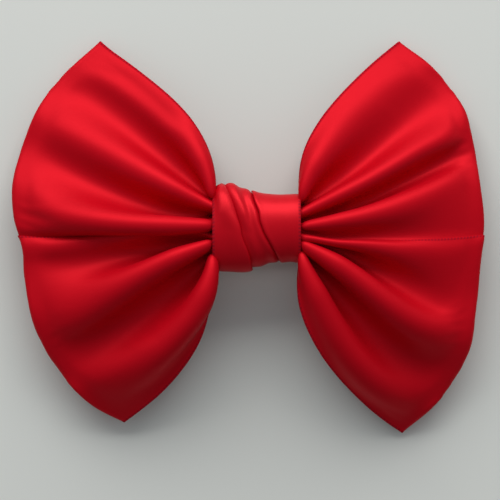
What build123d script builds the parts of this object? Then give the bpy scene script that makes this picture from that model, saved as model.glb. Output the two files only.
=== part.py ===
"""Satin ribbon hair bow on a French barrette, lying on its back with its front face up.

Two ribbons lie edge to edge, are folded into a loop each side, gathered in the middle with thread and
glued to a spring steel barrette. A narrower ribbon wraps the gather and the barrette's base together.
Units are millimetres. X runs along the barrette, Y across the bow, Z up out of its front.
Every shape is drawn about the middle of the knot and moved by BOW_SHIFT when it is written.
"""

from build123d import *
from math import sqrt
import os

# ---- Driving dimensions -------------------------------------------------------------------------
KNOT_RIBBON_WIDTH = 19.4  # the knot ribbon as it lies, folded narrower than its 25 mm
LEFT_SPAN = 54.5  # knot middle to the left loop's fold
RIGHT_SPAN = 50.8  # knot middle to the right loop's fold
HALF_HEIGHT = 43.7  # seam to the points of the loops
LEFT_POINT_X = (34.8, 30.4)  # knot middle to the left loop's upper and lower points
RIGHT_POINT_X = (32.4, 32.8)  # knot middle to the right loop's upper and lower points
KNOT_SIDE_REACH = 11.5  # seam to the selvages where the loops go under the knot
BOW_SHIFT = (LEFT_SPAN - RIGHT_SPAN) / 2  # centres the whole bow on the row's origin

GATHER_HALF_HEIGHT = 7.2  # the gathered ribbons inside the knot
GATHER_BOTTOM = 11.0
GATHER_TOP = 18.6
GATHER_CORNER = 2.6
KNOT_RISE = 1.5  # the gather and the knot lie this far above the seam
FOLD_SINK = 8.0  # how far each loop's front face sinks from the knot to the fold
POINT_SINK = 14.2  # and from the seam to the points
EDGE_THICKNESS = 1.8
PUFF = 5.4  # what the loops' air adds over the middle
WRAP_THICKNESS = 0.5
WRAP_CLEARANCE = 0.1  # between the wrap and the thread

PLATE_WIDTH = 8.0  # barrette base plate
PLATE_THICKNESS = 0.8
PLATE_HALF_LENGTH = 30.5
PLATE_CORNER = 2.2
PLATE_MIDDLE_Z = 9.4  # underside of the base plate at its middle
PLATE_END_Z = 6.6  # underside of the base plate at its ends
SEWING_HOLE_RADIUS = 0.9
SEWING_HOLE_X = 15.0

HINGE_X = 30.0
HINGE_Z = 1.7
PIN_RADIUS = 0.7
PIN_CLEARANCE = 0.06
BARREL_RADIUS = 1.6  # the clasp arm's rolled eye
EAR_THICKNESS = 0.7

ARM_THICKNESS = 0.8
ARM_RISE = 1.2  # the clasp arm's arch
ARM_WIDTH = 5.6
PADDLE_WIDTH = 7.0  # the clasp arm's free end
PADDLE_START_X = -24.5
PADDLE_END_X = -31.8
WINDOW_HALF_WIDTH = 2.3
WINDOW_X = (-29.6, -26.2)

CATCH_THICKNESS = 0.4
CATCH_X = (-30.3, -23.4)
CATCH_WIDTH = 6.4
FINGER_X = (-29.3, -26.5)
FINGER_OUTER_Y = 2.1
FINGER_GAP = 0.03  # between the finger's bend and the catch plate
FINGER_BARB = 0.12  # how far the barb stands out of the finger
PINCH_TAB_Z = 3.2
PINCH_TAB_REACH = 5.4
RIVET_X = -24.9
RIVET_RADIUS = 0.6
RIVET_HEAD_RADIUS = 1.1

BAR_WIDTH = 4.6  # tension bar
BAR_THICKNESS = 0.4
BAR_MIDDLE_Z = 7.6
BAR_END_Z = 6.2
BAR_END_X = (-22.8, 26.2)

THREAD_RADIUS = 0.2
THREAD_TURNS = 7
GLUE_HALF_LENGTH = 9.0


# ---- Shared shapes ------------------------------------------------------------------------------
def arched_strip(x0, x1, middle_z, end_z, thickness, width):
    """A strip along X whose underside is an arc from end_z at x0 and x1 up to middle_z between them."""
    middle_x = (x0 + x1) / 2
    with BuildPart() as strip:
        with BuildSketch(Plane.XZ):
            with BuildLine():
                under = ThreePointArc((x0, end_z), (middle_x, middle_z), (x1, end_z))
                over = ThreePointArc(
                    (x0, end_z + thickness), (middle_x, middle_z + thickness), (x1, end_z + thickness)
                )
                Line(under @ 0, over @ 0)
                Line(under @ 1, over @ 1)
            make_face()
        extrude(amount=width / 2, both=True)
    return strip.part


def plate_strip(x0, x1, above, thickness, width):
    """A strip that follows the base plate's arch, its underside `above` the plate's underside."""
    rise = PLATE_MIDDLE_Z - PLATE_END_Z
    radius = (PLATE_HALF_LENGTH**2 + rise**2) / (2 * rise)

    def height(x):
        return PLATE_MIDDLE_Z + above - radius + sqrt(radius**2 - x**2)

    middle_x = (x0 + x1) / 2
    with BuildPart() as strip:
        with BuildSketch(Plane.XZ):
            with BuildLine():
                under = ThreePointArc(*[(x, height(x)) for x in (x0, middle_x, x1)])
                over = ThreePointArc(*[(x, height(x) + thickness) for x in (x0, middle_x, x1)])
                Line(under @ 0, over @ 0)
                Line(under @ 1, over @ 1)
            make_face()
        extrude(amount=width / 2, both=True)
    return strip.part


def block(x0, x1, y0, y1, z0, z1):
    """A box between two corners."""
    return Pos((x0 + x1) / 2, (y0 + y1) / 2, (z0 + z1) / 2) * Box(x1 - x0, y1 - y0, z1 - z0)


def rounded_ring(half_height, z0, z1, radius, thickness, length):
    """A ribbon-thin ring around the X axis with rounded corners: its inside is half_height by z0 to z1."""
    middle = (z0 + z1) / 2
    outer = RectangleRounded(
        2 * (half_height + thickness), z1 - z0 + 2 * thickness, radius + thickness
    )
    inner = RectangleRounded(2 * half_height, z1 - z0, radius)
    ring = extrude(Plane.YZ * Pos(0, middle, 0) * (outer - inner), amount=length / 2, both=True)
    return ring


# ---- Bow ribbons --------------------------------------------------------------------------------
def loop_edge(x, point_x, span):
    """How far the loop reaches from the seam at x: its selvage before the point, its fold after it."""
    if x <= point_x:
        along = (x - KNOT_RIBBON_WIDTH / 2) / (point_x - KNOT_RIBBON_WIDTH / 2)
        return KNOT_SIDE_REACH + (HALF_HEIGHT - KNOT_SIDE_REACH) * max(along, 0) ** 0.75
    along = (x - point_x) / (span - point_x)
    return HALF_HEIGHT * sqrt(max(1 - along**1.55, 0.0))


def loop_top(x, y, span):
    """The loop's front face: highest beside the knot, sinking to the fold and to the points."""
    return GATHER_TOP - FOLD_SINK * (x / span) ** 3 - POINT_SINK * (y / HALF_HEIGHT) ** 2


def loop_thickness(x, y, reach, span):
    """Thickest over the middle, thinning to the fold and to the selvages."""
    puff = (1 - (y / reach) ** 4) * (1 - 0.72 * (x / span) ** 6)
    return EDGE_THICKNESS + PUFF * puff


def loop_section(x, point_x, span):
    """One slice of a loop across X, from the seam at y = 0 out to its edge."""
    reach = loop_edge(x, point_x, span)
    stations = [reach * k / 4 for k in range(5)]
    top = [(y, loop_top(x, y, span)) for y in stations]
    under = [
        (y, max(z - loop_thickness(x, y, reach, span), 0.0)) for y, z in top
    ]
    with BuildSketch(Plane.YZ.offset(x)) as section:
        with BuildLine():
            Spline(*top)
            Line(top[-1], under[-1])
            Spline(*reversed(under))
            Line(under[0], top[0])
        make_face()
    return section.sketch.face()


def loop(point_x, span):
    """One puffed loop of one ribbon, right of the knot and above the seam, as a plain closed solid."""
    start = KNOT_RIBBON_WIDTH / 2 + 0.1
    inner = [start + (point_x - start) * k / 4 for k in range(5)]
    outer = [point_x + (span - point_x) * f for f in (0, 0.3, 0.6, 0.82, 0.95, 0.998)]
    return loft([loop_section(x, point_x, span) for x in inner]) + loft(
        [loop_section(x, point_x, span) for x in outer]
    )


def bow_ribbon(left_point_x, right_point_x, gather_rise):
    """One ribbon above the seam: a loop each side and the gather that joins them through the knot."""
    height = GATHER_TOP - GATHER_BOTTOM
    outline = Plane.YZ * Pos(gather_rise, GATHER_BOTTOM + height / 2, 0)
    outline *= RectangleRounded(2 * GATHER_HALF_HEIGHT, height, GATHER_CORNER)
    half_length = KNOT_RIBBON_WIDTH / 2 + 0.1
    gather = extrude(outline, amount=half_length, both=True)
    gather &= block(-half_length, half_length, 0, 20, 0, 30)
    right = loop(right_point_x, RIGHT_SPAN)
    left = mirror(loop(left_point_x, LEFT_SPAN), about=Plane.YZ)
    return gather + right + left


def upper_ribbon():
    return bow_ribbon(LEFT_POINT_X[0], RIGHT_POINT_X[0], KNOT_RISE)


def lower_ribbon():
    return mirror(bow_ribbon(LEFT_POINT_X[1], RIGHT_POINT_X[1], -KNOT_RISE), about=Plane.XZ)


def gathering_thread():
    """Turns of thread drawn tight round the middle of the gather."""
    pitch = 2.3 * THREAD_RADIUS
    turn = rounded_ring(
        GATHER_HALF_HEIGHT, GATHER_BOTTOM, GATHER_TOP, GATHER_CORNER,
        2 * THREAD_RADIUS, 2 * THREAD_RADIUS,
    )
    first = -pitch * (THREAD_TURNS - 1) / 2
    return Compound([Pos(first + pitch * k, KNOT_RISE, 0) * turn for k in range(THREAD_TURNS)])


# ---- Knot ribbon --------------------------------------------------------------------------------
def knot_ribbon():
    """The narrow ribbon wrapped round the gather and the base plate, its ends lapped underneath."""
    half_height = GATHER_HALF_HEIGHT + 2 * THREAD_RADIUS + WRAP_CLEARANCE
    bottom = PLATE_MIDDLE_Z - 0.5
    top = GATHER_TOP + 2 * THREAD_RADIUS + WRAP_CLEARANCE
    corner = GATHER_CORNER + 2 * THREAD_RADIUS + WRAP_CLEARANCE
    ring = rounded_ring(half_height, bottom, top, corner, WRAP_THICKNESS, KNOT_RIBBON_WIDTH)
    return Pos(0, KNOT_RISE, 0) * ring


def glue_bed():
    """Hot-melt glue between the base plate and the gather."""
    bed = plate_strip(-GLUE_HALF_LENGTH, GLUE_HALF_LENGTH, PLATE_THICKNESS, 4.0, PLATE_WIDTH - 1)
    bed &= block(-20, 20, -10, 10, 0, GATHER_BOTTOM)
    thread_half_length = 2.3 * THREAD_RADIUS * THREAD_TURNS / 2 + 0.1
    return bed - block(
        -thread_half_length, thread_half_length, -10, 10, GATHER_BOTTOM - 2 * THREAD_RADIUS, 20
    )


# ---- Barrette -----------------------------------------------------------------------------------
def hinge_ear(y0, y1):
    """A lug bent down from the base plate to hold the hinge pin."""
    with BuildPart() as ear:
        with BuildSketch(Plane.XZ.offset(-y1)):
            with Locations((HINGE_X, HINGE_Z)):
                Circle(BARREL_RADIUS)
            with BuildLine():
                Polyline(
                    (HINGE_X - BARREL_RADIUS, HINGE_Z),
                    (HINGE_X - 3.2, PLATE_MIDDLE_Z),
                    (HINGE_X + 0.4, PLATE_MIDDLE_Z),
                    (HINGE_X + BARREL_RADIUS, HINGE_Z),
                    close=True,
                )
            make_face()
        extrude(amount=y1 - y0)
    return ear.part - over_plate()


def over_plate():
    """The space above the middle of the plate's thickness, where lugs bent down from it end."""
    return plate_strip(-PLATE_HALF_LENGTH - 1, PLATE_HALF_LENGTH + 1, PLATE_THICKNESS / 2, 10, 20)


def bar_hook(x, side):
    """A small lug under the base plate that holds one edge of the tension bar's end."""
    inner = BAR_WIDTH / 2 + 0.1
    stem = block(x - 0.9, x + 0.9, inner, inner + 0.5, BAR_END_Z - 0.5, PLATE_MIDDLE_Z) - over_plate()
    toe = block(x - 0.9, x + 0.9, inner - 0.7, inner + 0.5, BAR_END_Z - 0.6, BAR_END_Z - 0.1)
    hook = stem + toe
    return hook if side > 0 else mirror(hook, about=Plane.XZ)


def barrette_base():
    """Arched base plate with sewing holes, hinge ears at one end and lugs for the tension bar."""
    base = plate_strip(-PLATE_HALF_LENGTH, PLATE_HALF_LENGTH, 0, PLATE_THICKNESS, PLATE_WIDTH)
    base &= extrude(RectangleRounded(2 * PLATE_HALF_LENGTH, PLATE_WIDTH, PLATE_CORNER), amount=20)
    ear_outer = PLATE_WIDTH / 2 - 0.1
    ears = hinge_ear(ear_outer - EAR_THICKNESS, ear_outer)
    base = base + ears + mirror(ears, about=Plane.XZ)
    for x in (BAR_END_X[0] + 1.6, BAR_END_X[1] - 1.6):
        base = base + bar_hook(x, 1) + bar_hook(x, -1)
    for x in (-SEWING_HOLE_X, SEWING_HOLE_X):
        base = base - Pos(x, 0, 8) * Cylinder(SEWING_HOLE_RADIUS, 6)
    base = base - Pos(RIVET_X, 0, PLATE_END_Z) * Cylinder(RIVET_RADIUS, 6)
    return base - pin_shape(PIN_RADIUS)


def pin_shape(radius):
    """A cylinder on the hinge axis, as long as the pin."""
    return Pos(HINGE_X, 0, HINGE_Z) * Rot(90, 0, 0) * Cylinder(radius, PLATE_WIDTH + 0.4)


def hinge_pin():
    """The clasp arm's pin, held in both ears, with a small head at each end."""
    heads = [
        Pos(HINGE_X, side * (PLATE_WIDTH / 2 + 0.1), HINGE_Z) * Rot(90, 0, 0) * Cylinder(1.05, 0.4)
        for side in (-1, 1)
    ]
    return pin_shape(PIN_RADIUS) + heads[0] + heads[1]


def clasp_arm():
    """The sprung steel arm that closes over the hair: rolled eye, arched strip and windowed paddle."""
    strip = arched_strip(PADDLE_START_X, HINGE_X, ARM_RISE, 0.1, ARM_THICKNESS, ARM_WIDTH)
    paddle = extrude(
        Pos((PADDLE_START_X + PADDLE_END_X) / 2, 0)
        * RectangleRounded(PADDLE_START_X - PADDLE_END_X + 0.8, PADDLE_WIDTH, 2.0),
        amount=ARM_THICKNESS,
    )
    eye_width = PLATE_WIDTH - 0.2 - 2 * EAR_THICKNESS - 0.3
    eye = Pos(HINGE_X, 0, HINGE_Z) * Rot(90, 0, 0) * Cylinder(BARREL_RADIUS, eye_width)
    arm = strip + paddle + eye
    window = block(*WINDOW_X, -WINDOW_HALF_WIDTH, WINDOW_HALF_WIDTH, -1, 2)
    return arm - window - pin_shape(PIN_RADIUS + PIN_CLEARANCE)


def tension_bar():
    """The thin bowed bar that presses the hair against the clasp arm."""
    return arched_strip(*BAR_END_X, BAR_MIDDLE_Z, BAR_END_Z, BAR_THICKNESS, BAR_WIDTH)


def catch_plate():
    """The catch's flat tab, riveted under the base plate's free end."""
    tab = plate_strip(*CATCH_X, -CATCH_THICKNESS, CATCH_THICKNESS, CATCH_WIDTH)
    outline = RectangleRounded(CATCH_X[1] - CATCH_X[0], CATCH_WIDTH, 1.4)
    tab &= extrude(Pos(sum(CATCH_X) / 2, 0) * outline, amount=20)
    return tab - Pos(RIVET_X, 0, PLATE_END_Z) * Cylinder(RIVET_RADIUS, 6)


def catch_rivet():
    """The rivet through the base plate and the catch."""
    rivet = Pos(RIVET_X, 0, 0) * Cylinder(RIVET_HEAD_RADIUS, 40)
    rivet &= plate_strip(
        RIVET_X - 3, RIVET_X + 3, -CATCH_THICKNESS - 0.3, CATCH_THICKNESS + PLATE_THICKNESS + 0.6, 10
    )
    grip = plate_strip(RIVET_X - 3, RIVET_X + 3, -CATCH_THICKNESS, CATCH_THICKNESS + PLATE_THICKNESS, 10)
    shank_hole = Pos(RIVET_X, 0, 0) * Cylinder(RIVET_RADIUS, 40)
    return rivet - (grip - shank_hole)


def catch_finger_front():
    """One of the catch's spring fingers: it stands in the clasp arm's window, with a pinch tab outside."""
    outer = -FINGER_OUTER_Y
    stem = block(*FINGER_X, outer, outer + CATCH_THICKNESS, 0.15, PLATE_MIDDLE_Z)
    stem -= plate_strip(*CATCH_X, -CATCH_THICKNESS - FINGER_GAP, 10, 10)
    barb = block(*FINGER_X, outer - FINGER_BARB, outer, 0.15, 0.5)
    tab = block(*FINGER_X, -PINCH_TAB_REACH, outer, PINCH_TAB_Z, PINCH_TAB_Z + CATCH_THICKNESS)
    lip = block(
        *FINGER_X, -PINCH_TAB_REACH, -PINCH_TAB_REACH + CATCH_THICKNESS, PINCH_TAB_Z - 1.2, PINCH_TAB_Z
    )
    return stem + barb + tab + lip


def catch_finger_back():
    return mirror(catch_finger_front(), about=Plane.XZ)


# ---- Writing ------------------------------------------------------------------------------------
PARTS = [
    upper_ribbon, lower_ribbon, gathering_thread, knot_ribbon, glue_bed,
    barrette_base, hinge_pin, clasp_arm, tension_bar,
    catch_plate, catch_rivet, catch_finger_front, catch_finger_back,
]  # fmt: skip

os.makedirs("parts", exist_ok=True)
for make in PARTS:
    export_step(Pos(BOW_SHIFT, 0, 0) * make(), f"parts/{make.__name__}.step")
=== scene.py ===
# A satin hair bow on a barrette. Two wide ribbons, lapped a little, are folded into a loop each side, the
# middle is gathered with thread, a narrower ribbon is wrapped over the gather as the knot, and the bow is
# glued along a pressed steel barrette that opens on a hinge and closes on a sprung catch.

import math

import bpy
import numpy as np
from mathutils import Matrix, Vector


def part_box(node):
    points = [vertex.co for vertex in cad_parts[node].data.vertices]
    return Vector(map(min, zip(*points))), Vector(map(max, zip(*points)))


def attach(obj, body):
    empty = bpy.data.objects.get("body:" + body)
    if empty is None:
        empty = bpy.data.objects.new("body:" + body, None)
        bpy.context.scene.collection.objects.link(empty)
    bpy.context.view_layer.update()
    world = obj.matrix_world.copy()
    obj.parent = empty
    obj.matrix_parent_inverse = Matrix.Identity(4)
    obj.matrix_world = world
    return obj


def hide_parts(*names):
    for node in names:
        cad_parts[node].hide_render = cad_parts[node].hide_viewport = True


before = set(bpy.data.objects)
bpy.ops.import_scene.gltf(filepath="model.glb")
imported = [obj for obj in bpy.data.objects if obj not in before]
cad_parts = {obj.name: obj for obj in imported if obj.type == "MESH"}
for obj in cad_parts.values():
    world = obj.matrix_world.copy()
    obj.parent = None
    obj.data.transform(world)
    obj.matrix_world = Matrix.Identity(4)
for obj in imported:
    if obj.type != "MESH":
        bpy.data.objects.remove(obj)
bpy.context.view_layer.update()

# ---- The two bow ribbons ------------------------------------------------------------------------
# Woven satin ribbon, 50 mm wide, shiny outside and duller inside. The two lie side by side, the upper one
# lapped a little under the lower, and are folded together: knot, front of a loop, fold, back of the loop,
# knot. Their pleats run from the knot and open out towards the folds. Lengths here are millimetres.
RIBBON_WIDTH = 50
LAP = 1
BAND_WIDTH = 2 * RIBBON_WIDTH - LAP
ROWS = 96  # points along each thread, round one loop from knot to knot
DEEPEST = 7.0  # the most that a valley may lie below its crests
SHALLOWEST = 1.3  # and the least
UNDER_KNOT = 0.2  # how far inside the knot ribbon's edge the threads start
LAYERS_AT_KNOT = 2.2  # from a loop's front layer to its back one, beside the knot

knot_low, knot_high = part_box("knot_ribbon")
KNOT_X = 1000 * (knot_low.x + knot_high.x) / 2
KNOT_HALF_WIDTH = 1000 * (knot_high.x - knot_low.x) / 2
GATHER_RISE = 1000 * (knot_low.y + knot_high.y) / 2
GATHER_MIDDLE = 1000 * (knot_low.z + knot_high.z) / 2
ribbon_low, ribbon_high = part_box("upper_ribbon")
FRONT_Z = 1000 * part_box("gathering_thread")[1].z - 0.5  # the gather's front
LEFT_SPAN = KNOT_X - 1000 * ribbon_low.x
RIGHT_SPAN = 1000 * ribbon_high.x - KNOT_X
HALF_HEIGHT = 1000 * ribbon_high.y

# The fold of each loop seen from the front: how far out and how far up, from its lower point to its upper.
LEFT_FOLD = [
    (29.8, -41.8), (36.2, -38.4), (42.2, -32.6), (48.8, -21.6), (51.8, -8.5), (52.6, -1.0),
    (53.4, 0.8), (54.6, 9.5), (52.3, 21.8), (47.0, 32.8), (41.6, 38.8), (35.5, 44.6),
]
RIGHT_FOLD = [
    (33.1, -44.5), (39.8, -38.2), (44.1, -32.6), (47.5, -25.5), (49.0, -15.5), (50.2, -4.0),
    (50.9, 0.8), (50.1, 11.0), (48.9, 20.5), (46.6, 29.2), (41.5, 36.8), (32.4, 44.6),
]

# Each pleat line: where it lies across the band, where it goes under the knot, how far it bows upwards
# near the knot and near the fold, and how high it stands (1 is a full crest, 0 the bottom of a valley).
LEFT_PLEATS = [
    (-49.5, -6.2, -7.7, -5.3, 0.4),
    (-37.5, -5.9, -7.5, -5.3, 0.95),
    (-30.5, -4.1, -2.5, -2.1, 0.0),
    (-17.6, -1.5, 3.7, -7.0, 1.0),
    (-6.5, -0.8, -0.2, 0.9, 0.14),
    (-2.0, 0.1, 1.0, -1.3, 0.6),
    (0.0, 1.2, 0.9, -0.8, 0.12),
    (2.6, 1.6, 0.2, -1.8, 0.7),
    (10.7, 3.0, -2.6, -5.9, 1.0),
    (20.4, 4.8, -5.9, -1.1, 0.0),
    (28.1, 7.0, -0.4, -0.4, 1.0),
    (36.0, 8.3, -1.5, 4.3, 0.1),
    (43.0, 8.9, 8.0, 3.8, 0.62),
    (49.5, 9.3, 10.6, 2.2, 0.7),
]
RIGHT_PLEATS = [
    (-49.5, -5.5, -11.6, -4.4, 0.45),
    (-41.7, -4.6, -0.5, -12.0, 0.9),
    (-32.4, -3.9, -2.8, -7.5, 0.0),
    (-22.3, -1.9, 3.3, -9.3, 1.0),
    (-11.8, -0.8, 4.2, -11.0, 0.3),
    (-1.2, 0.3, -2.4, -1.6, 0.75),
    (0.7, 1.2, -2.1, -2.3, 0.4),
    (11.6, 2.3, -3.0, 6.2, 0.95),
    (18.9, 3.7, -3.2, 1.6, 0.1),
    (27.0, 5.3, -1.0, -4.7, 1.0),
    (34.8, 6.8, -4.8, -0.9, 0.0),
    (41.7, 8.4, 3.9, 5.3, 0.85),
    (49.5, 9.3, 8.6, 3.6, 0.6),
]


def through(places, values, at):
    """A smooth curve through values at places, read at each point of at."""
    places, values, at = np.asarray(places, float), np.asarray(values, float), np.asarray(at, float)
    slopes = np.gradient(values, places, axis=0)
    k = np.clip(np.searchsorted(places, at, side="right") - 1, 0, len(places) - 2)
    step = places[k + 1] - places[k]
    w = (at - places[k]) / step
    if values.ndim > 1:
        step, w = step[:, None], w[:, None]
    return (
        (2 * w**3 - 3 * w**2 + 1) * values[k]
        + (w**3 - 2 * w**2 + w) * step * slopes[k]
        + (3 * w**2 - 2 * w**3) * values[k + 1]
        + (w**3 - w**2) * step * slopes[k + 1]
    )


def run_of(points):
    """Distance along a line of points, from its start."""
    return np.r_[0, np.cumsum(np.linalg.norm(np.diff(points, axis=0), axis=-1))]


FOLD_SINK = 5.0  # how far the crests sink on their way out to the fold
LOWER_SINK = 12.4  # how much further at a loop's lower point
UPPER_SINK = 11.0  # and at its upper point


def front_height(out, up, span):
    """Height of the pleats' crests: highest by the knot, sinking to the fold and to the points."""
    rise = np.abs(up / HALF_HEIGHT)
    sink = np.where(up < 0, LOWER_SINK * rise**3.2, UPPER_SINK * rise**1.4)
    return FRONT_Z - FOLD_SINK * (out / span) ** 3 - sink


ON_PLATE = 10.5  # middle of a ribbon that lies on the plate's highest part
ON_TABLE = 0.45  # middle of a ribbon that lies on the table
PLATE_BEND = 330  # about twice the radius that the plate is bent to
PLATE_EDGE = 4.3
PLATE_END = 31
EDGE_SLOPE = 3
END_SLOPE = 6


def plate_height(out, up):
    """What a ribbon lies on: the table, or the barrette's arched plate under the middle of the bow."""
    past_edge = np.maximum(np.abs(up) - PLATE_EDGE, 0)
    past_end = np.maximum(out - PLATE_END, 0)
    plate = ON_PLATE - out**2 / PLATE_BEND - EDGE_SLOPE * past_edge - END_SLOPE * past_end
    return np.maximum(plate, ON_TABLE)


def eased(places, values, at):
    """As through(), but level at every place, so that crests and valleys are round."""
    places, values = np.asarray(places, float), np.asarray(values, float)
    k = np.clip(np.searchsorted(places, at, side="right") - 1, 0, len(places) - 2)
    w = (at - places[k]) / (places[k + 1] - places[k])
    return values[k] + (3 * w**2 - 2 * w**3) * (values[k + 1] - values[k])


def pleat_depth(plan, crest, stand):
    """How deep the pleats are at each distance from the knot, to take up the band's width."""
    low, high = np.zeros(plan.shape[1]), np.full(plan.shape[1], DEEPEST)
    flat_steps = (np.diff(plan, axis=0) ** 2).sum(-1)
    for _ in range(30):
        depth = (low + high) / 2
        rise = np.diff(crest - depth * (1 - stand), axis=0)
        width = np.sqrt(flat_steps + rise**2).sum(0)
        low = np.where(width < BAND_WIDTH, depth, low)
        high = np.where(width < BAND_WIDTH, high, depth)
    return np.maximum(depth, SHALLOWEST)


# The hollow inside the knot ribbon's wrap: how far above the gather's middle it lies, half its height up
# the bow, half its depth, how square its corners are (2 is an ellipse), and the share that the cloth fills.
HOLLOW_RISE = 0.7
HOLLOW_UP = 8.0
HOLLOW_DEEP = 4.6
HOLLOW_CORNERS = 2.2
HOLLOW_FILL = 0.93


def tucked(up, height):
    """Draws the ends of the threads in, so that they go under the knot ribbon's rounded wrap."""
    off_middle = (up - GATHER_RISE - HOLLOW_RISE) / HOLLOW_UP
    off_height = (height - GATHER_MIDDLE) / HOLLOW_DEEP
    power = HOLLOW_CORNERS
    off_centre = (np.abs(off_middle) ** power + np.abs(off_height) ** power) ** (1 / power)
    excess = np.maximum(off_centre / HOLLOW_FILL, 1)
    drawn_up = GATHER_RISE + HOLLOW_RISE + HOLLOW_UP * off_middle / excess
    drawn_height = GATHER_MIDDLE + HOLLOW_DEEP * off_height / excess
    return drawn_up, drawn_height


def folded_loop(fold, pleats, span):
    """The band laid in its pleats, before the cloth settles: one line of points per thread along it."""
    across = np.linspace(-BAND_WIDTH / 2, BAND_WIDTH / 2, BAND_WIDTH + 1)
    fold = np.array(fold)
    outline = through(run_of(fold), fold, np.linspace(0, run_of(fold)[-1], 400))
    along_fold = run_of(outline)
    seam = along_fold[np.argmin(np.abs(outline[:, 1]))]
    reach = np.where(across < 0, seam / (BAND_WIDTH / 2), (along_fold[-1] - seam) / (BAND_WIDTH / 2))
    ends = through(along_fold, outline, np.clip(seam + across * reach, 0, along_fold[-1]))
    lines = np.array(pleats)
    knot_up, near, far = (through(lines[:, 0], lines[:, k], across) for k in (1, 2, 3))
    stand = eased(lines[:, 0], lines[:, 4], across)[:, None]
    starts = np.stack([np.full_like(across, KNOT_HALF_WIDTH - UNDER_KNOT), knot_up], 1)
    chord = ends - starts
    away = chord / np.linalg.norm(chord, axis=1)[:, None]
    normal = np.stack([-away[:, 1], away[:, 0]], 1)
    t = np.linspace(0, 1, 60)  # from the knot to the fold
    broadening = 1 + 2.2 * (1 - t) ** 1.5  # broad crests and narrow valleys beside the knot
    stand = 1 - (1 - stand) ** broadening
    bow = 3 * (1 - t) ** 2 * t * near[:, None] + 3 * (1 - t) * t**2 * far[:, None]
    plan = starts[:, None] + t[:, None] * chord[:, None] + bow[..., None] * normal[:, None]
    crest = front_height(plan[..., 0], plan[..., 1], span)
    depth = pleat_depth(plan, crest, stand)
    front = crest - depth * (1 - stand) - (DEEPEST - depth) / 2
    slack = (ends[:, 1] / HALF_HEIGHT) ** 2  # the layers puff out most towards the selvages
    half_fold = (0.35 + 0.4 * (1 - slack))[:, None]  # and the fold is tightest there
    belly = (3.4 + 2.0 * slack)[:, None] * np.sin(np.pi * t**0.9)
    puff = LAYERS_AT_KNOT + belly + (2 * half_fold - LAYERS_AT_KNOT) * t**2
    back = np.maximum(front - puff, plate_height(plan[..., 0], plan[..., 1]))
    turn = np.linspace(0, np.pi, 12)[1:-1]  # round the fold
    threads = []
    for i in range(len(across)):
        middle = (front[i, -1] + back[i, -1]) / 2
        half = (front[i, -1] - back[i, -1]) / 2
        drawn_in = plan[i] - half * t[:, None] ** 6 * away[i]
        bend = plan[i, -1] + (half * (np.sin(turn) - 1))[:, None] * away[i]
        ground = np.concatenate([drawn_in[:-1], bend, drawn_in[::-1]])
        height = np.concatenate([front[i, :-1], middle + half * np.cos(turn), back[i, ::-1]])
        path = np.column_stack([ground, height])
        for end in (0, -1):
            path[end, 1:] = tucked(path[end, 1], path[end, 2])
        threads.append(through(run_of(path), path, np.linspace(0, run_of(path)[-1], ROWS)))
    return np.array(threads)


LAYER_GAP = 1.0  # the layers of a loop are pushed apart when they come closer than this
CRUSHED = 0.45  # share of its width that the cloth keeps in the gather


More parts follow.
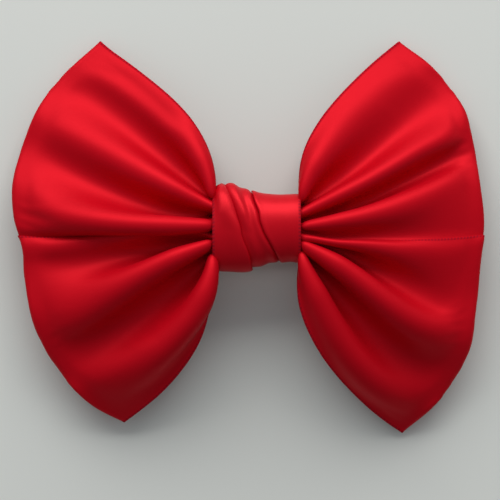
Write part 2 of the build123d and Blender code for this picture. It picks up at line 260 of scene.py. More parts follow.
def settle(cloth, rounds):
    """Lets the laid-out band settle as woven cloth: it is pulled towards its width and length, resists
    sharp bends, and is pushed out of the table, the barrette and the other layer of its loop."""
    target = cloth.copy()
    free = np.ones(cloth.shape[:2])
    free[:, 0] = 0
    free[:, -1] = 0
    rows = np.arange(ROWS) / (ROWS - 1)
    near_knot = np.minimum(np.minimum(rows, 1 - rows) / 0.1, 1)  # 0 at the knot, 1 well away from it
    ease = (CRUSHED + (1 - CRUSHED) * near_knot)[None, :]
    width = np.linalg.norm(np.diff(cloth, axis=0), axis=-1).sum(0)
    across_rest = np.maximum(width, BAND_WIDTH) / (len(cloth) - 1) * ease * np.ones((len(cloth), 1))
    # Each thread's length is evened out with its neighbours'.
    length = np.array([run_of(thread)[-1] for thread in cloth])
    kernel = np.hanning(7)
    padded = np.pad(length, 3, mode="edge")
    even_length = np.convolve(padded, kernel / kernel.sum(), mode="valid") / (ROWS - 1)
    along_rest = even_length[:, None] * np.ones((1, ROWS))
    slant_up = np.linalg.norm(cloth[1:, 1:] - cloth[:-1, :-1], axis=-1)
    slant_down = np.pad(np.linalg.norm(cloth[1:, :-1] - cloth[:-1, 1:], axis=-1), ((0, 0), (1, 0)))
    to_fold = np.exp(-(((np.arange(ROWS) - (ROWS - 1) / 2) / 8) ** 2))  # 1 at the fold, 0 away from it
    from_selvage = np.minimum(np.arange(len(cloth)), np.arange(len(cloth))[::-1])[:, None]
    # How firmly the cloth keeps to its laid-out place: most at the pressed fold and at the selvages.
    keep = 0.008 + 0.08 * to_fold + 0.05 * np.exp(-((from_selvage / 2) ** 2))

    def link(di, dj, rest, strength, only_push=False):
        """Moves every two points that lie di, dj apart on the grid towards their distance at rest, or
        only pushes them out to it. Two phases keep the pairs of one go from sharing a point."""
        span = max(abs(di), abs(dj))
        n, m = cloth.shape[:2]
        for phase in range(2):
            if di:
                first = np.arange(n - di)
                first = first[(first // span) % 2 == phase]
                a = np.ix_(first, np.arange(max(0, -dj), m - max(0, dj)))
            else:
                second = np.arange(m - dj)
                second = second[(second // span) % 2 == phase]
                a = np.ix_(np.arange(n), second)
            b = (a[0] + di, a[1] + dj)
            gap = cloth[b] - cloth[a]
            distance = np.sqrt((gap**2).sum(-1)) + 1e-9
            error = distance - rest[a]
            if only_push:
                error = np.minimum(error, 0)
            weight = free[a] + free[b] + 1e-9
            step = (strength * error / (distance * weight))[..., None] * gap
            cloth[a] += free[a][..., None] * step
            cloth[b] -= free[b][..., None] * step

    half = ROWS // 2
    seam = len(cloth) // 2
    for k in range(rounds):
        hold = keep + 0.03 * (1 - k / rounds) ** 2  # firmer in the first rounds
        cloth += (hold * free)[..., None] * (target - cloth)
        for reach, strength in ((2, 0.25), (4, 0.08), (7, 0.02)):  # against sharp bends and wide ones
            across, along = across_rest * reach, along_rest * reach
            across[seam - reach : seam] = 0  # the two ribbons hinge along their lap
            along[:, half - reach : half] = 0  # and the fold is pressed to a crease
            link(reach, 0, across, strength, only_push=True)
            link(0, reach, along, strength, only_push=True)
        link(1, 1, slant_up, 0.1)
        link(1, -1, slant_down, 0.1)
        link(0, 1, along_rest, 0.9)
        link(1, 0, across_rest, 0.9)
        front, back = cloth[:, :half], cloth[:, ::-1][:, :half]
        open_by = LAYER_GAP - (front[..., 2] - back[..., 2])
        push = np.clip(open_by, 0, None) * 0.25 * free[:, :half]
        push[:, half - 8 :] = 0  # the layers meet at the fold
        front[..., 2] += push
        back[..., 2] -= push
        floor = plate_height(cloth[..., 0], cloth[..., 1])
        cloth[..., 2] = np.where(free > 0, np.maximum(cloth[..., 2], floor), cloth[..., 2])
    # Last, small kinks are smoothed away, less beside the knot and not at the fold.
    soften = (0.3 * (1 - to_fold) * np.minimum(near_knot + 0.2, 1))[None, 1:-1, None]
    for _ in range(4):
        cloth[:, 1:-1] += soften * ((cloth[:, 2:] + cloth[:, :-2]) / 2 - cloth[:, 1:-1])
        cloth[1:-1, 1:-1] += soften * ((cloth[2:, 1:-1] + cloth[:-2, 1:-1]) / 2 - cloth[1:-1, 1:-1])
    return cloth


left_band = folded_loop(LEFT_FOLD, LEFT_PLEATS, LEFT_SPAN)
right_band = folded_loop(RIGHT_FOLD, RIGHT_PLEATS, RIGHT_SPAN)
left_band = settle(left_band, 400)
right_band = settle(right_band, 400)
left_band[..., 0] = KNOT_X - left_band[..., 0]
right_band[..., 0] = KNOT_X + right_band[..., 0]


GATHER_ROWS = 18
PINCH = 0.25  # how much the thread narrows the gather at its middle


def gather_between(left, right):
    """The rows under the knot, from the edge of one loop to the edge of the other."""
    share = np.linspace(0, 1, GATHER_ROWS + 2)[1:-1]
    rows = left[:, None] + share[None, :, None] * (right - left)[:, None]
    pinch = 1 - PINCH * np.sin(np.pi * share)
    rows[..., 1] = GATHER_RISE + (rows[..., 1] - GATHER_RISE) * pinch[None, :]
    return rows


# One closed strip: right loop from front to back, under the knot, left loop from back to front.
strip = np.concatenate(
    [
        right_band,
        gather_between(right_band[:, -1], left_band[:, -1]),
        left_band[:, ::-1],
        gather_between(left_band[:, 0], right_band[:, 0]),
    ],
    axis=1,
)


def outward(surface, closed):
    """The direction that a ribbon's shiny face looks in, at each point of its grid."""
    if closed:
        along = np.roll(surface, -1, 1) - np.roll(surface, 1, 1)
    else:
        along = np.gradient(surface, axis=1)
    normal = np.cross(along, np.gradient(surface, axis=0))
    return normal / (np.linalg.norm(normal, axis=-1)[..., None] + 1e-9)


def ribbon_mesh(name, surface, width, thickness, selvage, closed):
    """A ribbon with two faces and a thicker woven selvage along each side, from a grid of points."""
    n, m = surface.shape[:2]
    spread = np.linspace(0, width, n)
    close_to_edge = np.array([0, 0.25, 0.55, 0.9])
    plain = 1.2  # from here in, the points are evenly spread
    inside = spread[(spread > plain) & (spread < width - plain)]
    stations = np.r_[close_to_edge, inside, (width - close_to_edge)[::-1]]
    normal = outward(surface, closed)
    surface = through(spread, surface.reshape(n, -1), stations).reshape(len(stations), m, 3)
    normal = through(spread, normal.reshape(n, -1), stations).reshape(len(stations), m, 3)
    n = len(stations)
    from_edge = np.minimum(stations, width - stations)
    half = thickness / 2 + selvage * np.exp(-(((from_edge - close_to_edge[1]) / 0.3) ** 2))
    lift = normal * half[:, None, None]
    points = np.concatenate([(surface + lift).reshape(-1, 3), (surface - lift).reshape(-1, 3)]) / 1000
    count = n * m
    along = np.arange(m if closed else m - 1)
    i, j = np.meshgrid(np.arange(n - 1), along, indexing="ij")
    k = (j + 1) % m
    outer = np.stack([i * m + j, i * m + k, (i + 1) * m + k, (i + 1) * m + j], -1).reshape(-1, 4)
    inner = outer[:, ::-1] + count
    k = (along + 1) % m
    low = np.stack([along, along + count, k + count, k], -1)
    top = (n - 1) * m
    high = np.stack([top + along, top + k, top + k + count, top + along + count], -1)
    faces = [outer, inner, low, high]
    if not closed:
        rows = np.arange(n - 1) * m
        faces.append(np.stack([rows, rows + m, rows + m + count, rows + count], -1))
        rows = rows + m - 1
        faces.append(np.stack([rows, rows + count, rows + m + count, rows + m], -1))
    mesh = bpy.data.meshes.new(name)
    mesh.from_pydata(points.tolist(), [], np.concatenate(faces).tolist())
    index = np.zeros(len(mesh.polygons), int)
    index[len(outer) : 2 * len(outer)] = 1
    mesh.polygons.foreach_set("material_index", index)
    mesh.polygons.foreach_set("use_smooth", np.ones(len(mesh.polygons), bool))
    length = run_of(surface[n // 2])
    lap_length = length[-1] + np.linalg.norm(surface[n // 2, 0] - surface[n // 2, -1])
    vertex = np.zeros(len(mesh.loops), int)
    mesh.loops.foreach_get("vertex_index", vertex)
    grid = vertex % count
    u = length[grid % m].reshape(-1, 4)
    crosses_start = (u.max(1) - u.min(1)) > lap_length / 2
    u[crosses_start] += np.where(u[crosses_start] < lap_length / 2, lap_length, 0)
    uv = mesh.uv_layers.new(name="ribbon")
    uv.data.foreach_set("uv", np.stack([u.ravel(), stations[grid // m]], 1).ravel())
    mesh.validate()
    piece = bpy.data.objects.new(name, mesh)
    bpy.context.scene.collection.objects.link(piece)
    finer = piece.modifiers.new("finer", "SUBSURF")
    finer.levels = finer.render_levels = 1
    return piece


def add_sockets(group, ins, outs):
    """Gives a node group its named inputs, with their usual values, and its outputs."""
    for name, kind, value in ins:
        socket = group.interface.new_socket(name, in_out="INPUT", socket_type=f"NodeSocket{kind}")
        socket.default_value = value
    for name, kind in outs:
        group.interface.new_socket(name, in_out="OUTPUT", socket_type=f"NodeSocket{kind}")
    return group.nodes.new("NodeGroupInput"), group.nodes.new("NodeGroupOutput")


def number(group, operation, *values, clamp=False):
    """A Math node: each value is a number or another node's output."""
    node = group.nodes.new("ShaderNodeMath")
    node.operation = operation
    node.use_clamp = clamp
    for socket, value in zip(node.inputs, values):
        if isinstance(value, (int, float)):
            socket.default_value = value
        else:
            group.links.new(value, socket)
    return node.outputs[0]


def blend_colour(group, mode, factor, below, above):
    """A Mix node for colours."""
    node = group.nodes.new("ShaderNodeMix")
    node.data_type = "RGBA"
    node.blend_type = mode
    for socket, value in ((node.inputs[0], factor), (node.inputs[6], below), (node.inputs[7], above)):
        if isinstance(value, bpy.types.NodeSocket):
            group.links.new(value, socket)
        else:
            socket.default_value = value
    return node.outputs[2]


def noise(group, place, scale, detail):
    """A Noise node's value at a place."""
    node = group.nodes.new("ShaderNodeTexNoise")
    node.inputs["Scale"].default_value = scale
    node.inputs["Detail"].default_value = detail
    group.links.new(place, node.inputs["Vector"])
    return node.outputs["Fac"]


def stretched(group, place, scale):
    """A place, scaled along each axis, for streaks and grain."""
    node = group.nodes.new("ShaderNodeMapping")
    node.inputs["Scale"].default_value = scale
    group.links.new(place, node.inputs["Vector"])
    return node.outputs["Vector"]


# How far apart the weave's rows and the selvage's loops are, and where the selvage ends and how softly.
WARP_PITCH = 0.24
WEFT_PITCH = 0.5
LOOP_PITCH = 0.85
SELVAGE_WIDTH = 0.45
SELVAGE_BLUR = 0.25


def satin_weave():
    """Long warp floats along the ribbon, faint cloudiness, and a plain-woven selvage with tiny loops."""
    group = bpy.data.node_groups.new("satin_weave", "ShaderNodeTree")
    source, out = add_sockets(
        group,
        [
            ("Colour", "Color", (0.7, 0.002, 0.01, 1)),
            ("Selvage Colour", "Color", (0.3, 0.002, 0.006, 1)),
            ("Width", "Float", 50.0),
            ("Streaks", "Float", 0.1),
            ("Roughness", "Float", 0.4),
        ],
        [("Colour", "Color"), ("Roughness", "Float"), ("Height", "Float")],
    )
    place = group.nodes.new("ShaderNodeUVMap")
    place.uv_map = "ribbon"
    parts = group.nodes.new("ShaderNodeSeparateXYZ")
    group.links.new(place.outputs["UV"], parts.inputs[0])
    u, v = parts.outputs[0], parts.outputs[1]
    floats = noise(group, stretched(group, place.outputs["UV"], (0.35, 7.0, 1)), 1.0, 3.0)
    clouds = noise(group, stretched(group, place.outputs["UV"], (0.035, 0.09, 1)), 1.0, 2.0)
    creases = noise(group, stretched(group, place.outputs["UV"], (0.03, 0.2, 1)), 1.0, 2.0)
    warp = number(group, "SINE", number(group, "MULTIPLY", v, 2 * math.pi / WARP_PITCH))
    weft = number(group, "SINE", number(group, "MULTIPLY", u, 2 * math.pi / WEFT_PITCH))
    other_side = number(group, "SUBTRACT", source.outputs["Width"], v)
    from_edge = number(group, "MINIMUM", v, other_side)
    inward = number(group, "SUBTRACT", from_edge, SELVAGE_WIDTH)
    inward = number(group, "DIVIDE", inward, SELVAGE_BLUR, clamp=True)
    selvage = number(group, "SUBTRACT", 1.0, inward)
    loops = number(group, "SINE", number(group, "MULTIPLY", u, 2 * math.pi / LOOP_PITCH))
    loops = number(group, "MULTIPLY_ADD", loops, 0.35, 0.5)
    tone = number(group, "SUBTRACT", number(group, "ADD", floats, clouds), 1.0)
    tone = number(group, "MULTIPLY_ADD", tone, source.outputs["Streaks"], 1.0)
    shade = group.nodes.new("ShaderNodeCombineColor")
    for socket in shade.inputs:
        group.links.new(tone, socket)
    cloth = blend_colour(group, "MULTIPLY", 1.0, source.outputs["Colour"], shade.outputs[0])
    looped = blend_colour(group, "MIX", loops, source.outputs["Selvage Colour"], cloth)
    group.links.new(blend_colour(group, "MIX", selvage, cloth, looped), out.inputs["Colour"])
    rough = number(group, "MULTIPLY_ADD", number(group, "SUBTRACT", floats, 0.5), 0.15, 0.0)
    rough = number(group, "ADD", rough, source.outputs["Roughness"])
    rough = number(group, "MULTIPLY_ADD", selvage, 0.25, rough, clamp=True)
    group.links.new(rough, out.inputs["Roughness"])
    height = number(group, "MULTIPLY_ADD", number(group, "MULTIPLY", warp, weft), 0.15, floats)
    height = number(group, "MULTIPLY_ADD", creases, 5.0, height)
    height = number(group, "MULTIPLY_ADD", number(group, "MULTIPLY", loops, selvage), 1.5, height)
    group.links.new(height, out.inputs["Height"])
    return group


SATIN_WEAVE = satin_weave()
SATIN_RED = (0.56, 0.0014, 0.0095, 1)
SATIN_BACK_RED = (0.46, 0.002, 0.009, 1)
SELVAGE_RED = (0.28, 0.002, 0.013, 1)


def finish_with(material, group, values, bump_strength, bump_distance):
    """Places an effect group in a material and joins it to the shader's colour, roughness and bump."""
    tree = material.node_tree
    shader = tree.nodes["Principled BSDF"]
    effect = tree.nodes.new("ShaderNodeGroup")
    effect.node_tree = group
    for name, value in values.items():
        effect.inputs[name].default_value = value
    bump = tree.nodes.new("ShaderNodeBump")
    bump.inputs["Strength"].default_value = bump_strength
    bump.inputs["Distance"].default_value = bump_distance
    tree.links.new(effect.outputs["Colour"], shader.inputs["Base Color"])
    tree.links.new(effect.outputs["Roughness"], shader.inputs["Roughness"])
    tree.links.new(effect.outputs["Height"], bump.inputs["Height"])
    tree.links.new(bump.outputs["Normal"], shader.inputs["Normal"])
    return shader


def satin(name, colour, width, roughness, gloss, sheen):
    """One face of a satin ribbon: sheen is how much of its shine takes the cloth's own colour."""
    material = bpy.data.materials.new(name)
    material.use_nodes = True
    values = {"Colour": colour, "Selvage Colour": SELVAGE_RED, "Width": width, "Roughness": roughness}
    shader = finish_with(material, SATIN_WEAVE, values, bump_strength=0.25, bump_distance=0.00003)
    shader.inputs["Specular IOR Level"].default_value = gloss
    shader.inputs["Specular Tint"].default_value = (1.0, 0.72, 0.74, 1)
    shader.inputs["Metallic"].default_value = sheen
    return material


bow_satin = satin(
    "bow_satin_front", SATIN_RED, RIBBON_WIDTH, roughness=0.52, gloss=0.13, sheen=0.3
)
bow_satin_back = satin(
    "bow_satin_back", SATIN_BACK_RED, RIBBON_WIDTH, roughness=0.62, gloss=0.1, sheen=0.1
)

RIBBON_THICKNESS = 0.3
SELVAGE_BULGE = 0.06
TUCK = 0.3  # how far the upper ribbon lies inside the lower one at their lap
middle = BAND_WIDTH // 2
upper_cloth = strip[middle:].copy()
lower_cloth = strip[: middle + 2]
from_lap = np.arange(len(upper_cloth))
tuck = TUCK * np.exp(-((from_lap / 4) ** 2))
upper_cloth -= tuck[:, None, None] * outward(upper_cloth, closed=True)
for name, cloth, node in (
    ("upper_ribbon_satin", upper_cloth, "upper_ribbon"),
    ("lower_ribbon_satin", lower_cloth, "lower_ribbon"),
):
    piece = ribbon_mesh(name, cloth, RIBBON_WIDTH, RIBBON_THICKNESS, SELVAGE_BULGE, closed=True)
    piece.data.materials.append(bow_satin)
    piece.data.materials.append(bow_satin_back)
    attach(piece, "bow")
    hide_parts(node)

# ---- The gathering thread -----------------------------------------------------------------------
# Doubled polyester sewing thread, two plies twisted together, wound tight round the middle of the gather
# before the knot ribbon hides it.
THREAD_TURNS = 7
STEPS_PER_TURN = 70
COIL_HALF_WIDTH = 1.4
COIL_INSET = 0.7  # how far the thread bites in from its solid's outline
COIL_CORNERS = (3, 3)
PLY_RADIUS = 0.13
PLY_OFFSET = 0.11  # from the thread's middle
TWISTS_PER_TURN = 9
TUBE_SIDES = 8
thread_low, thread_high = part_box("gathering_thread")


def rounded_way(angle, middle, reach, corners):
    """A rounded rectangle about the X axis: up and out of the bow at an angle from its top end. The two
    corners are for its front and back: 2 is an ellipse, more is squarer."""
    c, s = np.cos(angle), np.sin(angle)
    power = 2 / np.where(s > 0, corners[0], corners[1])
    up = middle[0] + reach[0] * np.sign(c) * np.abs(c) ** power
    height = middle[1] + reach[1] * np.sign(s) * np.abs(s) ** power
    return up, height


def tube_mesh(name, lines, radius, material):
    """Round tubes, one along each line of points."""
    points, faces = [], []
    ring = np.linspace(0, 2 * np.pi, TUBE_SIDES, endpoint=False)
    for line in lines:
        start = len(points)
        ahead = np.gradient(line, axis=0)
        ahead /= np.linalg.norm(ahead, axis=1)[:, None]
        side = np.cross(ahead, (1, 0, 0))
        side /= np.linalg.norm(side, axis=1)[:, None]
        over = np.cross(ahead, side)
        for a in ring:
            points.extend(line + radius * (np.cos(a) * side + np.sin(a) * over))
        m = len(line)
        for k in range(TUBE_SIDES):
            here, there = start + k * m, start + (k + 1) % TUBE_SIDES * m
            faces.extend((here + j, here + j + 1, there + j + 1, there + j) for j in range(m - 1))
        faces.append([start + k * m for k in range(TUBE_SIDES)])
        faces.append([start + k * m + m - 1 for k in range(TUBE_SIDES)][::-1])
    mesh = bpy.data.meshes.new(name)
    mesh.from_pydata((np.array(points) / 1000).tolist(), [], faces)
    mesh.polygons.foreach_set("use_smooth", np.ones(len(mesh.polygons), bool))
    mesh.materials.append(material)
    piece = bpy.data.objects.new(name, mesh)
    bpy.context.scene.collection.objects.link(piece)
    return piece


def spun_fibre():
    """Slanting fibres and a little fuzz, for thread."""
    group = bpy.data.node_groups.new("spun_fibre", "ShaderNodeTree")
    source, out = add_sockets(
        group,
        [("Colour", "Color", (0.4, 0.002, 0.008, 1)), ("Roughness", "Float", 0.75)],
        [("Colour", "Color"), ("Roughness", "Float"), ("Height", "Float")],
    )
    place = group.nodes.new("ShaderNodeTexCoord").outputs["Object"]
    fibres = noise(group, stretched(group, place, (9000, 2500, 2500)), 1.0, 2.0)
    tone = number(group, "MULTIPLY_ADD", fibres, 0.7, 0.55)
    shade = group.nodes.new("ShaderNodeCombineColor")
    for socket in shade.inputs:
        group.links.new(tone, socket)
    colour = blend_colour(group, "MULTIPLY", 1.0, source.outputs["Colour"], shade.outputs[0])
    group.links.new(colour, out.inputs["Colour"])
    group.links.new(source.outputs["Roughness"], out.inputs["Roughness"])
    group.links.new(fibres, out.inputs["Height"])
    return group


thread_red = bpy.data.materials.new("sewing_thread")
thread_red.use_nodes = True
thread_colour = {"Colour": (0.42, 0.003, 0.01, 1)}
finish_with(thread_red, spun_fibre(), thread_colour, bump_strength=0.5, bump_distance=0.00004)
turn = np.linspace(0, 2 * np.pi * THREAD_TURNS, STEPS_PER_TURN * THREAD_TURNS)
thread_middle = [500 * (thread_low[k] + thread_high[k]) for k in (1, 2)]
thread_reach = [500 * (thread_high[k] - thread_low[k]) - PLY_RADIUS - COIL_INSET for k in (1, 2)]
thread_up, thread_height = rounded_way(turn, thread_middle, thread_reach, COIL_CORNERS)
across_turns = np.linspace(-COIL_HALF_WIDTH, COIL_HALF_WIDTH, len(turn))
plies = []
for start in (0, np.pi):
    twist = turn * TWISTS_PER_TURN + start
    ply_across = KNOT_X + across_turns + PLY_OFFSET * np.cos(twist)
    ply_height = thread_height + PLY_OFFSET * np.sin(twist)
    plies.append(np.stack([ply_across, thread_up, ply_height], 1))
thread = tube_mesh("gathering_thread_wound", plies, PLY_RADIUS, thread_red)
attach(thread, "bow")
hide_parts("gathering_thread")

# ---- The knot ribbon ----------------------------------------------------------------------------
# A 25 mm satin ribbon laid in two slanting pleats to about 19 mm, wrapped once round the gather and the
# barrette's plate, and glued where its ends lap underneath.
KNOT_RIBBON_WIDTH = 25
KNOT_RIBBON_THICKNESS = 0.18
KNOT_SELVAGE_BULGE = 0.05
PLEAT_OVERLAP = 1.2
WRAP_FRONT = 19.1
WRAP_BACK = 8.95
WRAP_CORNERS = (2.05, 8)  # round over the gather, square over the barrette's plate
# Where the wrap's top and bottom ends lie at points across it.
WRAP_ACROSS = [-9.7, -8.6, -7.0, -3.0, 0.0, 4.0, 7.0, 9.7]
WRAP_TOP = [9.4, 10.6, 11.3, 10.3, 9.3, 8.9, 8.9, 9.2]
WRAP_BOTTOM = [-6.7, -7.0, -7.1, -6.9, -6.3, -4.9, -4.8, -5.3]
# The two pleats' folded edges: degrees round the wrap from its top end, over the front, and place across.
LEFT_PLEAT_EDGE = [
    (0, -7.4), (30, -6.3), (55, -5.0), (77, -4.0), (87, -3.5), (98, -3.2), (122, -1.9), (180, -0.8),
    (270, -3.5), (360, -7.4),
]
RIGHT_PLEAT_EDGE = [
    (0, -1.2), (42, -0.4), (63, 0.5), (77, 0.8), (91, 1.5), (122, 3.5), (145, 4.6), (180, 5.2),
    (270, 2.0), (360, -1.2),
]


def pleated_section(left_edge, right_edge, degrees):
    """Across the knot ribbon, as places across and heights over the wrap: left band, folded under, middle
    band, folded back, right band."""
    back = PLEAT_OVERLAP
    middle_width = right_edge - left_edge
    lower = np.clip((degrees - 68) / 25, 0, 1)  # below, the left band bulges over the middle one
    crest = left_edge - 1.9 + 1.2 * lower
    section = [
        (-9.7, 0.05), (-9.1, 0.25), ((crest - 9.7) / 2, 0.55 + 0.2 * (1 - lower)), (crest, 1.0),
        (left_edge - 0.3, 0.62 + 0.35 * lower), (left_edge, 0.48 + 0.25 * lower),
        (left_edge - 0.3, 0.34 + 0.1 * lower), (left_edge - back, 0.32),
        (left_edge - back - 0.15, 0.2), (left_edge - back, 0.08), (left_edge - 0.1, 0.06),
        (left_edge + 0.1 * middle_width, 0.5 - 0.35 * lower),
        (left_edge + 0.3 * middle_width, 0.9 - 0.45 * lower), (left_edge + 0.6 * middle_width, 0.45),
        (right_edge - 0.7, 0.66), (right_edge - 0.1, 0.22),
        (right_edge + back - 0.1, 0.06), (right_edge + back + 0.05, 0.2), (right_edge + back - 0.1, 0.34),
        (right_edge + 0.25, 0.46), (right_edge, 0.7), (right_edge + 0.3, 0.9),
        (right_edge + 1.2, 0.82), ((right_edge + 9.7) / 2, 0.6), (8.9, 0.45), (9.7, 0.25),
    ]
    section = np.array(section)
    return through(run_of(section), section, np.linspace(0, run_of(section)[-1], 80))


SLOPE_REACH = 0.6  # each side of a point, to find which way is out


def wrap_at(across, share):
    """The wrap's line under the pleats at a place across it, the way out of it, and the degrees round it
    from its top end, at shares of a turn."""
    top = through(WRAP_ACROSS, WRAP_TOP, [across])[0]
    bottom = through(WRAP_ACROSS, WRAP_BOTTOM, [across])[0]
    middle = ((top + bottom) / 2, (WRAP_FRONT + WRAP_BACK) / 2)
    reach = ((top - bottom) / 2, (WRAP_FRONT - WRAP_BACK) / 2)
    angle = np.linspace(0, 2 * np.pi, 1441)
    up, height = rounded_way(angle, middle, reach, WRAP_CORNERS)
    line = np.stack([up, height], 1)
    run = run_of(line)
    at = (share % 1) * run[-1]
    place = np.stack([np.interp(at, run, line[:, k]) for k in (0, 1)], 1)
    after = [np.interp((at + SLOPE_REACH) % run[-1], run, line[:, k]) for k in (0, 1)]
    before = [np.interp((at - SLOPE_REACH) % run[-1], run, line[:, k]) for k in (0, 1)]
    ahead = np.stack([after[0] - before[0], after[1] - before[1]], 1)
    ahead /= np.linalg.norm(ahead, axis=1)[:, None]
    way_out = np.stack([ahead[:, 1], -ahead[:, 0]], 1)
    return place, way_out, np.degrees(np.interp(at, run, angle))


WRAP_START = 0.78  # share of a turn from the top end: under the barrette's plate
WRAP_LAP = 0.1  # share of a turn that the ends overlap
WRAP_ROWS = 132
share = np.linspace(WRAP_START, WRAP_START + 1 + WRAP_LAP, WRAP_ROWS)
degrees = wrap_at(0.0, share)[2]
left_edge, right_edge = (through(*zip(*edge), degrees) for edge in (LEFT_PLEAT_EDGE, RIGHT_PLEAT_EDGE))
sections = np.array([pleated_section(*at) for at in zip(left_edge, right_edge, degrees)])
knot_cloth = np.zeros((sections.shape[1], len(share), 3))
places_across = np.linspace(-10, 10, 81)
wraps = [wrap_at(across, share) for across in places_across]
lines, ways_out = (np.array([wrap[k] for wrap in wraps]) for k in (0, 1))
for k, station in enumerate(share):
    on_front = np.clip((np.sin(np.radians(degrees[k])) + 0.9) / 1.2, 0, 1)
    press = 0.3 + 0.7 * on_front  # the barrette presses the pleats flat at the back
    lap = 0.3 * np.clip((station - WRAP_START - 1) / 0.03 + 0.6, 0, 1)  # the last end lies over the first
    across, height = sections[k].T
    knot_cloth[:, k, 0] = KNOT_X + across
    for axis in (0, 1):
        line = np.interp(across, places_across, lines[:, k, axis])
        out = np.interp(across, places_across, ways_out[:, k, axis])
        knot_cloth[:, k, axis + 1] = line + out * (height * press + lap)
knot_satin = satin(
    "knot_satin_front", SATIN_RED, KNOT_RIBBON_WIDTH, roughness=0.4, gloss=0.2, sheen=0.32
)
knot_satin_back = satin(
    "knot_satin_back", SATIN_BACK_RED, KNOT_RIBBON_WIDTH, roughness=0.6, gloss=0.1, sheen=0.1
)
knot_piece = ribbon_mesh(
    "knot_ribbon_satin",
    knot_cloth,
    KNOT_RIBBON_WIDTH,
    KNOT_RIBBON_THICKNESS,
    KNOT_SELVAGE_BULGE,
    closed=False,
)
knot_piece.data.materials.append(knot_satin)
knot_piece.data.materials.append(knot_satin_back)
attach(knot_piece, "bow")
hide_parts("knot_ribbon")

# ---- The glue ------------------------------------------------------------------------------------
# A bead of hot-melt glue pressed between the gather and the barrette's plate: milky, with a waxy shine
# and small bubbles.
def cast_glue():
    """Cloudy glue with bubbles and a rippled skin."""
    group = bpy.data.node_groups.new("cast_glue", "ShaderNodeTree")
    source, out = add_sockets(
        group,
        [("Colour", "Color", (0.8, 0.78, 0.7, 1)), ("Roughness", "Float", 0.3)],
        [("Colour", "Color"), ("Roughness", "Float"), ("Height", "Float")],
    )
    place = group.nodes.new("ShaderNodeTexCoord").outputs["Object"]
    cloud = noise(group, place, 400.0, 3.0)
    bubbles = group.nodes.new("ShaderNodeTexVoronoi")
    bubbles.inputs["Scale"].default_value = 1400.0
    group.links.new(place, bubbles.inputs["Vector"])
    bubble = number(group, "DIVIDE", bubbles.outputs["Distance"], 0.3, clamp=True)
    clear = blend_colour(group, "MIX", cloud, source.outputs["Colour"], (0.62, 0.56, 0.45, 1))
    colour = blend_colour(group, "MIX", bubble, (0.9, 0.88, 0.82, 1), clear)
    group.links.new(colour, out.inputs["Colour"])
    rough = number(group, "MULTIPLY_ADD", cloud, 0.2, source.outputs["Roughness"])
    group.links.new(rough, out.inputs["Roughness"])
    group.links.new(number(group, "ADD", cloud, bubble), out.inputs["Height"])
    return group


glue = bpy.data.materials.new("hot_melt_glue")
glue.use_nodes = True
glue_colour = {"Colour": (0.8, 0.77, 0.68, 1)}
finish_with(glue, cast_glue(), glue_colour, bump_strength=0.4, bump_distance=0.00015)
glue_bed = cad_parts["glue_bed"]
glue_bed.data.materials.clear()
glue_bed.data.materials.append(glue)

# ---- The barrette --------------------------------------------------------------------------------
# Pressed and bent spring steel, nickel plated. The pieces come from strip of different stock: each has
# its own grain, brightness and wear, and the plating is worn thin and rubbed paler along its edges.
def plated_steel():
    """Nickel plating over rolled steel: roll grain, fine scratches, cloudy tarnish and rubbed edges."""
    group = bpy.data.node_groups.new("plated_steel", "ShaderNodeTree")
    source, out = add_sockets(
        group,
        [
            ("Colour", "Color", (0.74, 0.72, 0.68, 1)),
            ("Tarnish", "Color", (0.36, 0.32, 0.26, 1)),
            ("Grain", "Vector", (120, 5000, 5000)),
            ("Tarnish Amount", "Float", 0.3),
            ("Roughness", "Float", 0.25),
        ],
        [("Colour", "Color"), ("Roughness", "Float"), ("Height", "Float")],
    )
    place = group.nodes.new("ShaderNodeTexCoord").outputs["Object"]
    scaled = group.nodes.new("ShaderNodeVectorMath")
    scaled.operation = "MULTIPLY"
    group.links.new(place, scaled.inputs[0])
    group.links.new(source.outputs["Grain"], scaled.inputs[1])
    grain = noise(group, scaled.outputs[0], 1.0, 4.0)
    cloud = noise(group, place, 300.0, 5.0)
    stain = number(group, "MULTIPLY_ADD", cloud, 3.0, -1.35, clamp=True)
    stain = number(group, "MULTIPLY", stain, source.outputs["Tarnish Amount"])
    shape = group.nodes.new("ShaderNodeNewGeometry")
    edge = number(group, "MULTIPLY_ADD", shape.outputs["Pointiness"], 12.0, -6.3, clamp=True)
    stained = blend_colour(group, "MIX", stain, source.outputs["Colour"], source.outputs["Tarnish"])
    rubbing = number(group, "MULTIPLY", edge, 0.6)
    rubbed = blend_colour(group, "MIX", rubbing, stained, (0.86, 0.84, 0.8, 1))
    group.links.new(rubbed, out.inputs["Colour"])
    rough = number(group, "MULTIPLY_ADD", number(group, "SUBTRACT", grain, 0.5), 0.3, 0.0)
    rough = number(group, "ADD", rough, source.outputs["Roughness"])
    rough = number(group, "MULTIPLY_ADD", stain, 0.35, rough, clamp=True)
    group.links.new(rough, out.inputs["Roughness"])
    group.links.new(grain, out.inputs["Height"])
    return group


PLATED_STEEL = plated_steel()
ALONG = (120, 5000, 5000)  # roll grain along the barrette
ROUND = (4000, 150, 4000)  # turned or drawn about the hinge's axis
UPRIGHT = (4000, 4000, 200)  # strip that stands on end


def plated(node, colour, grain, tarnish, roughness):
    """Gives one of the barrette's pieces its own plated steel."""
    material = bpy.data.materials.new("plated_" + node)
    material.use_nodes = True
    values = {"Colour": colour, "Grain": grain, "Tarnish Amount": tarnish, "Roughness": roughness}
    shader = finish_with(material, PLATED_STEEL, values, bump_strength=0.15, bump_distance=0.00002)
    shader.inputs["Metallic"].default_value = 1
    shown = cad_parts[node]
    shown.data.materials.clear()
    shown.data.materials.append(material)


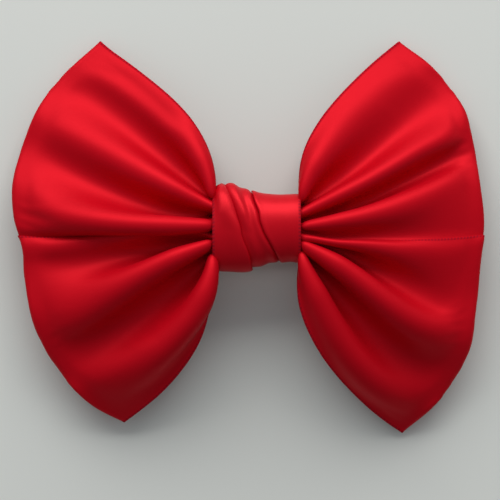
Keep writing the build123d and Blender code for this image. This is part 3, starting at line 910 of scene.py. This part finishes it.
plated("barrette_base", (0.72, 0.71, 0.68, 1), ALONG, 0.35, 0.28)
plated("clasp_arm", (0.76, 0.75, 0.72, 1), ALONG, 0.25, 0.2)
plated("tension_bar", (0.66, 0.66, 0.65, 1), ALONG, 0.15, 0.24)
plated("hinge_pin", (0.7, 0.69, 0.66, 1), ROUND, 0.5, 0.3)
plated("catch_plate", (0.7, 0.68, 0.63, 1), ALONG, 0.45, 0.34)
plated("catch_rivet", (0.68, 0.66, 0.62, 1), ROUND, 0.5, 0.38)
plated("catch_finger_front", (0.71, 0.69, 0.65, 1), UPRIGHT, 0.35, 0.3)
plated("catch_finger_back", (0.71, 0.69, 0.65, 1), UPRIGHT, 0.35, 0.3)

# ---- Floor, light and camera --------------------------------------------------------------------
bpy.ops.mesh.primitive_plane_add(size=3, location=(0, 0, -0.0002))
floor = bpy.context.object
floor.name = "floor"
floor_material = bpy.data.materials.new("floor_pale")
floor_material.use_nodes = True
floor_shader = floor_material.node_tree.nodes["Principled BSDF"]
floor_shader.inputs["Base Color"].default_value = (0.72, 0.73, 0.685, 1)
floor_shader.inputs["Roughness"].default_value = 0.5
floor.data.materials.append(floor_material)

world = bpy.context.scene.world or bpy.data.worlds.new("World")
bpy.context.scene.world = world
world.use_nodes = True
room = world.node_tree
background = room.nodes["Background"]
background.inputs["Color"].default_value = (0.9, 0.95, 1.0, 1)
# The room is lighter towards the window.
towards_window = room.nodes.new("ShaderNodeVectorMath")
towards_window.operation = "DOT_PRODUCT"
towards_window.inputs[1].default_value = (0, 0.8, 0.6)
looking = room.nodes.new("ShaderNodeTexCoord").outputs["Generated"]
room.links.new(looking, towards_window.inputs[0])
room_light = number(room, "MULTIPLY_ADD", towards_window.outputs["Value"], 0.21, 0.26)
room.links.new(room_light, background.inputs["Strength"])

WINDOW_PLACE = Vector((-0.05, 0.78, 0.53))
window_light = bpy.data.lights.new("window", "AREA")
window_light.shape = "RECTANGLE"
window_light.size = 1.2
window_light.size_y = 0.65
window_light.energy = 10
window = bpy.data.objects.new("window", window_light)
bpy.context.scene.collection.objects.link(window)
window.location = WINDOW_PLACE
window.rotation_euler = (-WINDOW_PLACE).to_track_quat("-Z", "Y").to_euler()

EYE_HEIGHT = 0.5
BOW_HEIGHT = 0.008  # the height at which the view is VIEW_WIDTH wide
VIEW_WIDTH = 0.11175
SENSOR_WIDTH = 36
camera = bpy.data.cameras.new("camera")
eye = bpy.data.objects.new("camera", camera)
bpy.context.scene.collection.objects.link(eye)
camera.sensor_width = SENSOR_WIDTH
camera.lens = SENSOR_WIDTH * (EYE_HEIGHT - BOW_HEIGHT) / VIEW_WIDTH
eye.location = (KNOT_X / 1000 - 0.00145, -0.0028, EYE_HEIGHT)
bpy.context.scene.camera = eye
bpy.context.scene.view_settings.view_transform = "Standard"
